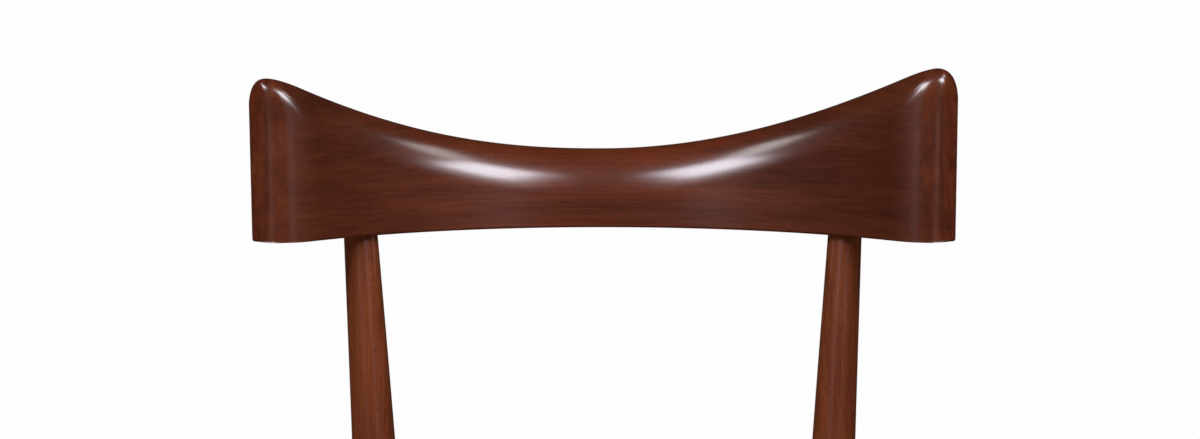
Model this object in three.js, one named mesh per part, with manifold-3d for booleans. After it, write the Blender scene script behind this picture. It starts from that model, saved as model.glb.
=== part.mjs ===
// A klismos dining chair in dark polished wood, in millimetres, with +Z up.
// The sitter faces -Y, and left (+X) and right (-X) are the sitter's.
// The origin is on the floor, under the middle of the chair's bounding box.
import * as THREE from 'three';
import Module from 'manifold-3d';
import { mergeVertices } from 'three/addons/utils/BufferGeometryUtils.js';

// Crest rail: a hollow back rest with two raised horns
const crestWidth = 500;
const crestHollowRadius = 289;
const crestThickness = 36;
const crestMiddleHeight = 56;
const hornRise = 76;
const hornDifference = 4;
const hornPower = 2.15;
const hornPowerDifference = 0.14;
const crestTipDrop = 9.5;
const crestTipRun = 36;
const crestEndRoll = 27;
const crestEndRollRun = 49;
const crestArrisRadius = 6;
const crestFrontRollDrop = 34;
const crestBackRollDrop = 18;
const crestLowerEdgeRadius = 2;
const crestUndersideHeight = 715;
const crestLeanSlope = 0.25;
const crestFlareShare = 0.2;
const crestRidgeShare = 0.64;

// Back legs: each is one curved piece from the floor to the crest rail
const postSpread = 353;
const postTopDiameter = 24.5;
const kneeDiameter = 36.5;
const backFootDiameter = 22;
const postRake = 68;
const backFootSweep = 121;
const backLegHandle = 330;
const postRakeSlope = 0.29;
const backFootSlope = 0.52;
const backLegTurnDegrees = 15.2;
const crestTenonDiameter = 18;
const crestTenonLength = 32;

// Front legs
const frontLegSpread = 410;
const frontLegTopDiameter = 39;
const frontFootDiameter = 22;
const frontFootSweep = 65;
const frontLegUpperHandle = 144;
const frontLegLowerHandle = 170;
const frontFootSlope = 0.42;
const frontLegTurnDegrees = 20;
const taperRoundingShare = 0.2;

// Seat frame
const seatDepth = 380;
const seatRailTop = 434;
const seatRailHeight = 58;
const seatRailThickness = 24;
const rebateWidth = 10;
const rebateDepth = 14;

// Dowels, two at each end of each seat rail
const dowelDiameter = 8;
const dowelInLeg = 12;
const dowelInRail = 24;
const lowerDowelInset = 12;
const dowelSpacing = 20;

// Corner blocks and their screws
const blockHeight = 30;
const blockReach = 55;
const blockLegCut = 12;
const blockScrewSetOut = 48;
const blockScrewInset = 9;
const blockScrewGrip = 12;
const blockScrewLength = 30;
const seatScrewSetOut = 33;
const seatScrewBite = 7;
const screwShankDiameter = 4;
const screwHeadDiameter = 8;
const screwHeadHeight = 2.6;
const screwPointLength = 4;
const screwHeadCrownShare = 0.7;
const screwHeadSideShare = 0.6;
const screwTipShare = 0.3;

// Drop-in seat
const padClearance = 1;
const padCornerRadius = 12;
const padLeastCornerRadius = 2;
const padRearCut = 25;
const padSideRise = 5;
const padEdgeRoll = 13;
const padEdgeRise = 9;
const padCrown = 12;
const padDrawIn = 3;
const coverThickness = 1.5;
const coverTurnUnder = 17;
const boardThickness = 9;
const dustCoverThickness = 0.8;
const dustCoverInset = 4;

// Glides, one nailed under each foot
const glideDiameter = 17;
const glideHeight = 4;
const glideEdgeDrop = 1;
const glideNailDiameter = 3;
const glideNailLength = 14;

// Fit and overrun
const jointGap = 0.3;
const cutOverrun = 10;

// Counts for the faceted surfaces
const legSides = 16;
const backLegSteps = 24;
const frontLegSteps = 14;
const pinSides = 8;
const glideSides = 12;
const crestSteps = 24;
const crestEndSteps = 9;
const crestFrontRollSteps = 6;
const crestBackRollSteps = 4;
const crestEdgeSteps = 2;
const padCornerSteps = 3;
const padSideSteps = 6;
const padRollSteps = 3;
const padCrownSteps = 4;
const heightSearchSteps = 40;

const sides = [['left', 1], ['right', -1]];
const up = new THREE.Vector3(0, 0, 1);
const wasm = await Module();
wasm.setup();

// Materials, one for each piece, from a few finishes
const finishes = {
  polishedWood: { color: 0x4a2217, roughness: 0.22, metalness: 0 },
  beech: { color: 0xc39b6a, roughness: 0.7, metalness: 0 },
  plywood: { color: 0xb98d5c, roughness: 0.8, metalness: 0 },
  foam: { color: 0xe8dcb0, roughness: 1, metalness: 0 },
  leather: { color: 0x6e3a1e, roughness: 0.5, metalness: 0 },
  cambric: { color: 0x17161a, roughness: 0.95, metalness: 0 },
  steel: { color: 0xa9a9ab, roughness: 0.35, metalness: 1 },
  nylon: { color: 0x1c1a19, roughness: 0.5, metalness: 0 },
};

const chair = new THREE.Group();

function addPiece(name, geometry, finish) {
  const piece = new THREE.Mesh(geometry, new THREE.MeshStandardMaterial(finishes[finish]));
  piece.name = name;
  chair.add(piece);
  return piece;
}

// Solids

function signedVolume(points, triangles) {
  let volume = 0;
  for (const [a, b, c] of triangles) {
    volume += points[a].dot(new THREE.Vector3().crossVectors(points[b], points[c]));
  }
  return volume;
}

// A closed skin through rings of equal count, with a fan over each end
function loft(rings) {
  const count = rings[0].length;
  const points = rings.flat();
  const triangles = [];
  for (let ring = 0; ring < rings.length - 1; ring++) {
    for (let i = 0; i < count; i++) {
      const near = ring * count + i;
      const nearNext = ring * count + (i + 1) % count;
      triangles.push([near, nearNext, nearNext + count], [near, nearNext + count, near + count]);
    }
  }
  for (const [ring, flip] of [[0, true], [rings.length - 1, false]]) {
    const middle = new THREE.Vector3();
    rings[ring].forEach((point) => middle.addScaledVector(point, 1 / count));
    points.push(middle);
    for (let i = 0; i < count; i++) {
      const a = ring * count + i;
      const b = ring * count + (i + 1) % count;
      triangles.push(flip ? [b, a, points.length - 1] : [a, b, points.length - 1]);
    }
  }
  if (signedVolume(points, triangles) < 0) triangles.forEach((triangle) => triangle.reverse());
  const geometry = new THREE.BufferGeometry().setFromPoints(points);
  geometry.setIndex(triangles.flat());
  return geometry;
}

function toSolid(geometry) {
  const bare = geometry.clone();
  bare.deleteAttribute('normal');
  bare.deleteAttribute('uv');
  const merged = mergeVertices(bare);
  const vertProperties = merged.getAttribute('position').array;
  const triVerts = Uint32Array.from(merged.getIndex().array);
  return new wasm.Manifold(new wasm.Mesh({ numProp: 3, vertProperties, triVerts }));
}

function toGeometry(solid) {
  const { vertProperties, triVerts } = solid.getMesh();
  const geometry = new THREE.BufferGeometry();
  geometry.setAttribute('position', new THREE.BufferAttribute(vertProperties, 3));
  geometry.setIndex(new THREE.BufferAttribute(triVerts, 1));
  return geometry;
}

function cut(geometry, cutters) {
  let solid = toSolid(geometry);
  for (const cutter of cutters) solid = solid.subtract(toSolid(cutter));
  return toGeometry(solid);
}

// A round pin or screw along +Z, from [distance along, radius] stations
function turned(stations, sideCount = pinSides) {
  const rings = stations.map(([along, radius]) => {
    const ring = [];
    for (let i = 0; i < sideCount; i++) {
      const angle = (i + 0.5) / sideCount * 2 * Math.PI;
      ring.push(new THREE.Vector3(radius * Math.cos(angle), radius * Math.sin(angle), along));
    }
    return ring;
  });
  return loft(rings);
}

// A flat outline, given as points on the floor plan, raised between two heights
function prism(outline, bottom, top) {
  const atHeight = (z) => outline.map((point) => new THREE.Vector3(point.x, point.y, z));
  return loft([atHeight(bottom), atHeight(top)]);
}

// A place is where a pin starts and the way it points
function placeMatrix(place) {
  const turn = new THREE.Quaternion().setFromUnitVectors(up, place.direction);
  return new THREE.Matrix4().compose(place.start, turn, new THREE.Vector3(1, 1, 1));
}

function addPin(name, geometry, finish, place) {
  const pin = addPiece(name, geometry, finish);
  pin.position.copy(place.start);
  pin.quaternion.setFromUnitVectors(up, place.direction);
}

function pinHole(place, diameter, from, to) {
  const radius = diameter / 2 + jointGap;
  return turned([[from, radius], [to, radius]]).applyMatrix4(placeMatrix(place));
}

// Legs: each centre line is a cubic curve in an upright plane, turned about Z

function planeDirection(side, frontOrBack, turnDegrees) {
  const turn = THREE.MathUtils.degToRad(turnDegrees);
  return new THREE.Vector3(side * Math.sin(turn), frontOrBack * Math.cos(turn), 0);
}

function legCurve(base, outward, stations) {
  const corners = stations.map(([reach, height]) => (
    base.clone().addScaledVector(outward, reach).setZ(height)));
  return new THREE.CubicBezierCurve3(...corners);
}

function pointAtHeight(curve, height) {
  let low = 0;
  let high = 1;
  for (let i = 0; i < heightSearchSteps; i++) {
    const middle = (low + high) / 2;
    if (curve.getPoint(middle).z < height) low = middle;
    else high = middle;
  }
  return curve.getPoint(low);
}

function softTaper(share) {
  const rounding = taperRoundingShare;
  return (Math.hypot(share, rounding) - rounding) / (Math.hypot(1, rounding) - rounding);
}

function circleAbout(centre, tangent, flatNormal, radius) {
  const acrossPlane = new THREE.Vector3().crossVectors(tangent, flatNormal).normalize();
  const ring = [];
  for (let i = 0; i < legSides; i++) {
    const angle = i / legSides * 2 * Math.PI;
    const point = centre.clone();
    point.addScaledVector(flatNormal, radius * Math.cos(angle));
    point.addScaledVector(acrossPlane, radius * Math.sin(angle));
    ring.push(point);
  }
  return ring;
}

// A round leg swept along its curve, and run on straight past both ends
function roundLeg(curve, outward, steps, radiusAt) {
  const flatNormal = new THREE.Vector3().crossVectors(up, outward);
  const rings = [];
  for (let i = 0; i <= steps; i++) {
    const centre = curve.getPoint(i / steps);
    const tangent = curve.getTangent(i / steps);
    const ring = circleAbout(centre, tangent, flatNormal, radiusAt(centre.z));
    const run = tangent.clone().multiplyScalar(cutOverrun);
    if (i === 0) rings.push(ring.map((point) => point.clone().sub(run)));
    rings.push(ring);
    if (i === steps) rings.push(ring.map((point) => point.clone().add(run)));
  }
  return loft(rings);
}

const roomSize = 2 * (crestWidth + crestUndersideHeight);

// A leg's length is trimmed level at the foot and at the top
function levelTrim(geometry, bottom, top) {
  const slab = new THREE.BoxGeometry(roomSize, roomSize, top - bottom);
  slab.translate(0, 0, (top + bottom) / 2);
  return toSolid(geometry).intersect(toSolid(slab));
}

const seatRailBottom = seatRailTop - seatRailHeight;
const ledgeHeight = seatRailTop - rebateDepth;
const seatJointHeight = seatRailBottom + lowerDowelInset + dowelSpacing / 2;

function backLegRadius(extra) {
  return (height) => {
    const above = height > seatJointHeight;
    const span = above ? crestUndersideHeight - seatJointHeight : seatJointHeight;
    const end = above ? postTopDiameter : backFootDiameter;
    const share = Math.abs(height - seatJointHeight) / span;
    return (kneeDiameter - (kneeDiameter - end) * softTaper(share)) / 2 + extra;
  };
}

function frontLegRadius(extra) {
  return (height) => {
    const share = Math.max(0, seatRailBottom - height) / seatRailBottom;
    const loss = (frontLegTopDiameter - frontFootDiameter) * softTaper(share);
    return (frontLegTopDiameter - loss) / 2 + extra;
  };
}

function makeBackLeg(side) {
  const outward = planeDirection(side, 1, backLegTurnDegrees);
  const top = new THREE.Vector3(side * postSpread / 2, 0, 0);
  const base = top.addScaledVector(outward, -postRake);
  const curve = legCurve(base, outward, [
    [backFootSweep, 0],
    [backFootSweep - backFootSlope * backLegHandle, backLegHandle],
    [postRake - postRakeSlope * backLegHandle, crestUndersideHeight - backLegHandle],
    [postRake, crestUndersideHeight],
  ]);
  const body = (extra) => roundLeg(curve, outward, backLegSteps, backLegRadius(extra));
  return { side, curve, body, radiusAt: backLegRadius(0), bottom: glideHeight, top: crestUndersideHeight };
}

function makeFrontLeg(side) {
  const outward = planeDirection(side, -1, frontLegTurnDegrees);
  const base = new THREE.Vector3(side * frontLegSpread / 2, seatJoint.back.y - seatDepth, 0);
  const curve = legCurve(base, outward, [
    [frontFootSweep, 0],
    [frontFootSweep - frontFootSlope * frontLegLowerHandle, frontLegLowerHandle],
    [0, seatRailTop - frontLegUpperHandle],
    [0, seatRailTop],
  ]);
  const body = (extra) => roundLeg(curve, outward, frontLegSteps, frontLegRadius(extra));
  return { side, curve, body, radiusAt: frontLegRadius(0), bottom: glideHeight, top: seatRailTop };
}

const backLegs = sides.map(([, side]) => makeBackLeg(side));
const seatJoint = { back: pointAtHeight(backLegs[0].curve, seatJointHeight) };
const frontLegs = sides.map(([, side]) => makeFrontLeg(side));
seatJoint.front = pointAtHeight(frontLegs[0].curve, seatJointHeight);

// Plan of the seat frame: where the rails' centre lines meet in each leg
function planPoint(end, side) {
  return new THREE.Vector3(side * seatJoint[end].x, seatJoint[end].y, 0);
}

const corners = [];
for (const end of ['front', 'back']) {
  for (const [sideName, side] of sides) {
    const legs = end === 'front' ? frontLegs : backLegs;
    const leg = legs.find((candidate) => candidate.side === side);
    const centre = planPoint(end, side);
    const acrossWay = new THREE.Vector3(-side, 0, 0);
    const otherEnd = end === 'front' ? 'back' : 'front';
    const alongWay = planPoint(otherEnd, side).sub(centre).normalize();
    corners.push({ name: `${end}_${sideName}`, end, side, leg, centre, acrossWay, alongWay });
  }
}
const cornerNamed = (name) => corners.find((corner) => corner.name === name);

// Seat rails: each runs from leg to leg, and its ends are coped round them
const seatRails = [
  { name: 'seat_rail_front', ends: ['front_left', 'front_right'], endNames: ['left', 'right'] },
  { name: 'seat_rail_back', ends: ['back_left', 'back_right'], endNames: ['left', 'right'] },
  { name: 'seat_rail_left', ends: ['front_left', 'back_left'], endNames: ['front', 'back'] },
  { name: 'seat_rail_right', ends: ['front_right', 'back_right'], endNames: ['front', 'back'] },
];

function railLine(rail) {
  const [from, to] = rail.ends.map((name) => cornerNamed(name).centre);
  const way = to.clone().sub(from);
  return { from, to, length: way.length(), way: way.normalize() };
}

function railBoard(rail, extra = 0) {
  const { from, to, length, way } = railLine(rail);
  const board = new THREE.BoxGeometry(length, seatRailThickness + 2 * extra, seatRailHeight + 2 * extra);
  board.rotateZ(Math.atan2(way.y, way.x));
  const middle = from.clone().add(to).divideScalar(2);
  board.translate(middle.x, middle.y, seatRailTop - seatRailHeight / 2);
  return board;
}

// The drop-in seat's outline: the frame's plan drawn in, with the two back
// corners cut off in front of the posts
function lineCrossing(pointA, wayA, pointB, wayB) {
  const gap = pointB.clone().sub(pointA);
  const along = (gap.x * wayB.y - gap.y * wayB.x) / (wayA.x * wayB.y - wayA.y * wayB.x);
  return pointA.clone().addScaledVector(wayA, along);
}

function inwardNormal(corner, way) {
  const normal = new THREE.Vector3(-way.y, way.x, 0);
  const inside = corner.acrossWay.clone().add(corner.alongWay);
  return normal.dot(inside) > 0 ? normal : normal.negate();
}

function insetCorner(corner, inset) {
  const acrossNormal = inwardNormal(corner, corner.acrossWay);
  const alongNormal = inwardNormal(corner, corner.alongWay);
  return lineCrossing(
    corner.centre.clone().addScaledVector(acrossNormal, inset), corner.acrossWay,
    corner.centre.clone().addScaledVector(alongNormal, inset), corner.alongWay,
  );
}

const padInset = seatRailThickness / 2 - rebateWidth + padClearance;

// Each corner holds its point and how many steps the side after it is made in
function padCorners() {
  const insetPoints = corners.map((corner) => insetCorner(corner, padInset));
  const [frontLeft, frontRight, backLeft, backRight] = insetPoints;
  const cutBack = (name, point) => {
    const { acrossWay, alongWay } = cornerNamed(name);
    return [alongWay, acrossWay].map((way) => point.clone().addScaledVector(way, padRearCut));
  };
  const [leftSide, leftBack] = cutBack('back_left', backLeft);
  const [rightSide, rightBack] = cutBack('back_right', backRight);
  return [
    { point: frontRight, steps: padSideSteps },
    { point: frontLeft, steps: padSideSteps },
    { point: leftSide, steps: 1 },
    { point: leftBack, steps: padSideSteps },
    { point: rightBack, steps: 1 },
    { point: rightSide, steps: padSideSteps },
  ];
}

// The seat's outline moved in by an inset, with round corners. A form's long
// sides have points between the corners, and are drawn in there, most midway.
function padOutline(inset, drawIn = 0, isForm = false) {
  const base = padCorners();
  const after = (i) => (i + 1) % base.length;
  const before = (i) => (i + base.length - 1) % base.length;
  const outwardOf = (way) => new THREE.Vector3(way.y, -way.x, 0);
  const ways = base.map(({ point }, i) => base[after(i)].point.clone().sub(point).normalize());
  const moved = (point, way) => point.clone().addScaledVector(outwardOf(way), -inset);
  const points = base.map(({ point }, i) => (
    lineCrossing(moved(point, ways[before(i)]), ways[before(i)], moved(point, ways[i]), ways[i])));
  const radius = Math.max(padCornerRadius - inset, padLeastCornerRadius);
  const tangentRun = (i) => radius * Math.tan(ways[before(i)].angleTo(ways[i]) / 2);
  const outline = [];
  points.forEach((point, i) => {
    const turn = ways[before(i)].angleTo(ways[i]);
    const normal = outwardOf(ways[before(i)]);
    const centre = point.clone().addScaledVector(ways[before(i)], -tangentRun(i));
    centre.addScaledVector(normal, -radius);
    for (let step = 0; step <= padCornerSteps; step++) {
      const spoke = normal.clone().applyAxisAngle(up, turn * step / padCornerSteps);
      outline.push(centre.clone().addScaledVector(spoke, radius));
    }
    const sideStart = outline[outline.length - 1];
    const sideEnd = points[after(i)].clone().addScaledVector(ways[i], -tangentRun(after(i)));
    for (let step = 1; isForm && step < base[i].steps; step++) {
      const share = step / base[i].steps;
      const bow = drawIn * Math.sin(Math.PI * share);
      outline.push(sideStart.clone().lerp(sideEnd, share).addScaledVector(outwardOf(ways[i]), -bow));
    }
  });
  return outline;
}

const padMiddle = new THREE.Vector3();
padCorners().forEach(({ point }, i, all) => padMiddle.addScaledVector(point, 1 / all.length));
const padMeanReach = seatDepth / 2;

// Towards the middle of the crown its level lines turn from the seat's outline
// to a circle, so that no ridge runs in from the corners
function crownPoint(edgePoint, share, height) {
  const spoke = edgePoint.clone().sub(padMiddle).setZ(0);
  const reach = THREE.MathUtils.lerp(spoke.length(), padMeanReach, share) * (1 - share);
  return padMiddle.clone().addScaledVector(spoke.normalize(), reach).setZ(height);
}

// The padded seat's form: upright sides, a rolled edge and a crowned top
function padForm(inset, topDrop, bottom) {
  const sideTop = seatRailTop + padSideRise - topDrop;
  const rings = [[inset, 0, bottom], [inset, 0, seatRailTop - topDrop]];
  for (let step = 0; step <= padRollSteps; step++) {
    const angle = step / padRollSteps * Math.PI / 2;
    const rolledIn = inset + (padEdgeRoll - inset) * (1 - Math.cos(angle));
    rings.push([rolledIn, padDrawIn, sideTop + padEdgeRise * Math.sin(angle)]);
  }
  const loops = rings.map(([ringInset, drawIn, height]) => (
    padOutline(ringInset, drawIn, true).map((point) => point.setZ(height))));
  const edge = loops[loops.length - 1];
  for (let step = 1; step < padCrownSteps; step++) {
    const share = step / padCrownSteps;
    const height = edge[0].z + padCrown * (1 - (1 - share) ** 2);
    loops.push(edge.map((point) => crownPoint(point, share, height)));
  }
  return loft(loops);
}

const recess = prism(padOutline(-padClearance), ledgeHeight, seatRailTop + cutOverrun);

// Dowels: two at each end of every seat rail, part in the rail, part in the leg
function dowelPlaces(rail) {
  const { way } = railLine(rail);
  const places = [];
  rail.ends.forEach((cornerName, i) => {
    const { leg, centre } = cornerNamed(cornerName);
    const direction = i === 0 ? way.clone() : way.clone().negate();
    for (const [level, rise] of [['lower', 0], ['upper', dowelSpacing]]) {
      const height = seatRailBottom + lowerDowelInset + rise;
      const drift = pointAtHeight(leg.curve, height).sub(centre).dot(direction);
      const setOut = drift + leg.radiusAt(height) - dowelInLeg;
      const start = centre.clone().setZ(height).addScaledVector(direction, setOut);
      places.push({ name: `${rail.name}_${rail.endNames[i]}_${level}_dowel`, rail, leg, start, direction });
    }
  });
  return places;
}

const dowels = seatRails.flatMap(dowelPlaces);
const dowelLength = dowelInLeg + dowelInRail;

function dowelHole(dowel) {
  return pinHole(dowel, dowelDiameter, -jointGap, dowelLength + jointGap);
}

function addDowels() {
  const radius = dowelDiameter / 2;
  for (const dowel of dowels) {
    addPin(dowel.name, turned([[0, radius], [dowelLength, radius]]), 'beech', dowel);
  }
}

// Screws point away from their heads, and the head's underside is at zero
function screw(length) {
  const shank = screwShankDiameter / 2;
  const head = screwHeadDiameter / 2;
  return turned([
    [-screwHeadHeight, head * screwHeadCrownShare],
    [-screwHeadHeight * screwHeadSideShare, head],
    [0, head],
    [0, shank],
    [length - screwPointLength, shank],
    [length, shank * screwTipShare],
  ]);
}

function screwHoles(place, length) {
  return [
    pinHole(place, screwShankDiameter, -jointGap, length + jointGap),
    pinHole(place, screwHeadDiameter, -screwHeadHeight - blockReach, 0),
  ];
}

// Corner blocks: four-sided blocks glued and screwed into the frame's corners
const dustCoverBottom = ledgeHeight - dustCoverThickness;
const blockTop = dustCoverBottom - jointGap;
const blockBottom = blockTop - blockHeight;

function blockOutline(corner) {
  const inner = insetCorner(corner, seatRailThickness / 2 + jointGap);
  const { acrossWay, alongWay } = corner;
  const reach = (way, distance) => inner.clone().addScaledVector(way, distance);
  return [
    reach(acrossWay, blockLegCut), reach(acrossWay, blockReach),
    reach(alongWay, blockReach), reach(alongWay, blockLegCut),
  ];
}

function blockScrewPlaces(corner) {
  const ways = [
    { way: corner.acrossWay, toRail: `${corner.end}_rail` },
    { way: corner.alongWay, toRail: 'side_rail' },
  ];
  return ways.map(({ way, toRail }) => {
    const inward = inwardNormal(corner, way);
    const inner = insetCorner(corner, seatRailThickness / 2);
    const start = inner.addScaledVector(way, blockScrewSetOut - seatRailThickness / 2);
    start.addScaledVector(inward, blockScrewGrip).setZ(blockBottom + blockScrewInset);
    return { name: `${corner.name}_block_screw_to_${toRail}`, start, direction: inward.negate() };
  });
}

function seatScrewPlace(corner) {
  const start = corner.centre.clone();
  start.addScaledVector(corner.acrossWay, seatScrewSetOut);
  start.addScaledVector(corner.alongWay, seatScrewSetOut).setZ(blockBottom);
  return { name: `${corner.name}_seat_screw`, start, direction: up.clone() };
}

const boardBottom = ledgeHeight + coverThickness + jointGap;
const seatScrewLength = boardBottom + seatScrewBite - blockBottom;
const blockScrews = corners.map(blockScrewPlaces);
const seatScrews = corners.map(seatScrewPlace);

function addCornerBlocks() {
  corners.forEach((corner, i) => {
    const cutters = [pinHole(seatScrews[i], screwShankDiameter, -cutOverrun, blockHeight + cutOverrun)];
    for (const place of blockScrews[i]) cutters.push(...screwHoles(place, blockScrewLength));
    const block = prism(blockOutline(corner), blockBottom, blockTop);
    addPiece(`${corner.name}_corner_block`, cut(block, cutters), 'beech');
  });
}

function addScrews() {
  for (const place of blockScrews.flat()) {
    addPin(place.name, screw(blockScrewLength), 'steel', place);
  }
  for (const place of seatScrews) {
    place.start.z -= jointGap;
    addPin(place.name, screw(seatScrewLength + jointGap), 'steel', place);
  }
}

// Seat rails, with the seat's rebate, coped ends, dowel holes and screw holes.
// The side rails also give way to the front and back rails inside each corner.
function addSeatRails() {
  const [frontRail, backRail] = seatRails;
  for (const rail of seatRails) {
    const cutters = [recess];
    const isSideRail = rail !== frontRail && rail !== backRail;
    if (isSideRail) cutters.push(railBoard(frontRail, jointGap), railBoard(backRail, jointGap));
    for (const name of rail.ends) cutters.push(cornerNamed(name).leg.body(jointGap));
    cutters.push(...dowels.filter((dowel) => dowel.rail === rail).map(dowelHole));
    for (const place of blockScrews.flat()) {
      cutters.push(screwHoles(place, blockScrewLength)[0]);
    }
    addPiece(rail.name, cut(railBoard(rail), cutters), 'polishedWood');
  }
}

// Legs, trimmed level at the foot and under the crest rail
function trimmedLeg(leg) {
  let solid = levelTrim(leg.body(0), leg.bottom, leg.top);
  for (const dowel of dowels.filter((candidate) => candidate.leg === leg)) {
    solid = solid.subtract(toSolid(dowelHole(dowel)));
  }
  return solid.subtract(toSolid(glideNailHole(leg)));
}

function footPlace(leg) {
  const start = pointAtHeight(leg.curve, glideHeight).setZ(glideHeight);
  return { start, direction: up.clone() };
}

function glideNailHole(leg) {
  return pinHole(footPlace(leg), glideNailDiameter, -cutOverrun, glideNailLength + jointGap);
}

function crestTenonPlace(leg) {
  const direction = leg.curve.getTangent(1);
  return { start: leg.curve.getPoint(1), direction };
}

function addLegs() {
  sides.forEach(([sideName], i) => {
    const tenonRadius = crestTenonDiameter / 2;
    const tenon = turned([[-cutOverrun, tenonRadius], [crestTenonLength, tenonRadius]], legSides);
    tenon.applyMatrix4(placeMatrix(crestTenonPlace(backLegs[i])));
    const backLeg = trimmedLeg(backLegs[i]).add(toSolid(tenon));
    addPiece(`back_leg_${sideName}`, toGeometry(backLeg), 'polishedWood');
    const frontLeg = trimmedLeg(frontLegs[i]).subtract(toSolid(recess));
    addPiece(`front_leg_${sideName}`, toGeometry(frontLeg), 'polishedWood');
  });
}

function addGlides() {
  const radius = glideDiameter / 2;
  const nail = glideNailDiameter / 2;
  for (const corner of corners) {
    const glide = turned([
      [-glideHeight, radius - glideEdgeDrop],
      [-glideHeight + glideEdgeDrop, radius],
      [0, radius],
      [0, nail],
      [glideNailLength, nail],
    ], glideSides);
    addPin(`${corner.name}_glide`, glide, 'nylon', footPlace(corner.leg));
  }
}

// Drop-in seat: a leather cover over foam on a board, with a cloth under it
function addSeat() {
  const lining = coverThickness + jointGap;
  const opening = padOutline(coverTurnUnder);
  const inside = [
    padForm(coverThickness, coverThickness, ledgeHeight + coverThickness),
    prism(opening, ledgeHeight - cutOverrun, ledgeHeight + coverThickness + jointGap),
  ];
  addPiece('seat_cover', cut(padForm(0, 0, ledgeHeight), inside), 'leather');

  const boardTop = boardBottom + boardThickness;
  const screwHolesUp = seatScrews.map((place) => (
    pinHole(place, screwShankDiameter, 0, seatScrewLength + jointGap)));
  addPiece('seat_board', cut(prism(padOutline(lining), boardBottom, boardTop), screwHolesUp), 'plywood');
  addPiece('seat_foam', padForm(lining, lining, boardTop), 'foam');

  const clothOutline = padOutline(rebateWidth + dustCoverInset);
  const cloth = prism(clothOutline, dustCoverBottom, ledgeHeight);
  addPiece('dust_cover', cut(cloth, screwHolesUp), 'cambric');
}

// Crest rail: sections across the rail follow its arc. The upper edge is rolled
// over to a ridge, and at both ends the front is rolled back to a narrow edge.
const crestMiddleRadius = crestHollowRadius + crestThickness / 2;
const crestJoint = backLegs[0].curve.getPoint(1);
const crestArcCentreY = crestJoint.y - Math.sqrt(crestMiddleRadius ** 2 - crestJoint.x ** 2);

// Part of an ellipse as section points, from one turn to another in degrees
function sectionArc(centre, radii, turns, steps) {
  const points = [];
  for (let step = 0; step <= steps; step++) {
    const turn = THREE.MathUtils.degToRad(THREE.MathUtils.lerp(turns[0], turns[1], step / steps));
    points.push([centre[0] + radii[0] * Math.cos(turn), centre[1] + radii[1] * Math.sin(turn)]);
  }
  return points;
}

// Section points as [across, height], from the lower front edge over the top
function crestSection(height) {
  const half = crestThickness / 2;
  const edge = [crestLowerEdgeRadius, crestLowerEdgeRadius];
  const frontRoll = [crestThickness * crestRidgeShare, crestFrontRollDrop];
  const backRoll = [crestThickness - frontRoll[0], crestBackRollDrop];
  const frontCentre = [-half + frontRoll[0], height - frontRoll[1]];
  const backCentre = [half - backRoll[0], height - backRoll[1]];
  return [
    ...sectionArc([-half + edge[0], edge[1]], edge, [270, 180], crestEdgeSteps),
    ...sectionArc(frontCentre, frontRoll, [180, 90], crestFrontRollSteps),
    ...sectionArc(backCentre, backRoll, [90, 0], crestBackRollSteps).slice(1),
    ...sectionArc([half - edge[0], edge[1]], edge, [0, -90], crestEdgeSteps),
  ];
}

function crestHeightAt(x) {
  const share = Math.abs(x) / (crestWidth / 2);
  const power = hornPower - Math.sign(x) * hornPowerDifference;
  return crestMiddleHeight + (hornRise + Math.sign(x) * hornDifference) * share ** power;
}

// What a rounding that starts at a distance from the end has taken off there
function roundedOff(fromEnd, start, most) {
  const share = Math.max(0, 1 - fromEnd / start);
  return most * (1 - Math.sqrt(1 - share ** 2));
}

// run is measured along the rail's middle line, from the middle to the left
function crestRing(run, fromEnd) {
  const angle = run / crestMiddleRadius;
  const drop = roundedOff(fromEnd, crestTipRun, crestTipDrop);
  const frontLoss = roundedOff(fromEnd, crestEndRollRun, crestEndRoll);
  const backLoss = roundedOff(fromEnd, crestArrisRadius, crestArrisRadius);
  const widthShare = 1 - (frontLoss + backLoss) / crestThickness;
  const shift = (frontLoss - backLoss) / 2;
  const height = crestHeightAt(crestMiddleRadius * Math.sin(angle)) - drop;
  return crestSection(height).map(([across, rise]) => {
    const lean = crestLeanSlope * rise;
    const radius = crestMiddleRadius + across * widthShare + shift + crestFlareShare * lean;
    return new THREE.Vector3(
      radius * Math.sin(angle),
      crestArcCentreY + radius * Math.cos(angle) + (1 - crestFlareShare) * lean,
      crestUndersideHeight + rise,
    );
  });
}

function crestBody() {
  const roundingX = crestWidth / 2 - crestArrisRadius;
  const roundingRadius = crestMiddleRadius + crestThickness / 2 - crestArrisRadius;
  const halfLength = crestArrisRadius + crestMiddleRadius * Math.asin(roundingX / roundingRadius);
  const bodyEnd = halfLength - crestEndRollRun;
  const rings = [];
  for (let i = 0; i <= crestSteps; i++) {
    rings.push(crestRing(bodyEnd * (2 * i / crestSteps - 1), crestEndRollRun));
  }
  for (let i = 1; i <= crestEndSteps; i++) {
    const fromEnd = crestEndRollRun * (1 - Math.sin(i / crestEndSteps * Math.PI / 2));
    rings.push(crestRing(halfLength - fromEnd, fromEnd));
    rings.unshift(crestRing(fromEnd - halfLength, fromEnd));
  }
  return loft(rings);
}

function addCrestRail() {
  const sockets = backLegs.map((leg) => {
    const radius = crestTenonDiameter / 2 + jointGap;
    const socket = turned([[-cutOverrun, radius], [crestTenonLength + jointGap, radius]], legSides);
    return socket.applyMatrix4(placeMatrix(crestTenonPlace(leg)));
  });
  addPiece('crest_rail', cut(crestBody(), sockets), 'polishedWood');
}

addCrestRail();
addLegs();
addSeatRails();
addCornerBlocks();
addScrews();
addDowels();
addSeat();
addGlides();

// The chair is moved back or forth so that the origin is midway along its depth
const bounds = new THREE.Box3().setFromObject(chair);
chair.position.set(0, -bounds.getCenter(new THREE.Vector3()).y, 0);
chair.updateMatrixWorld(true);

export default chair;
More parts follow.
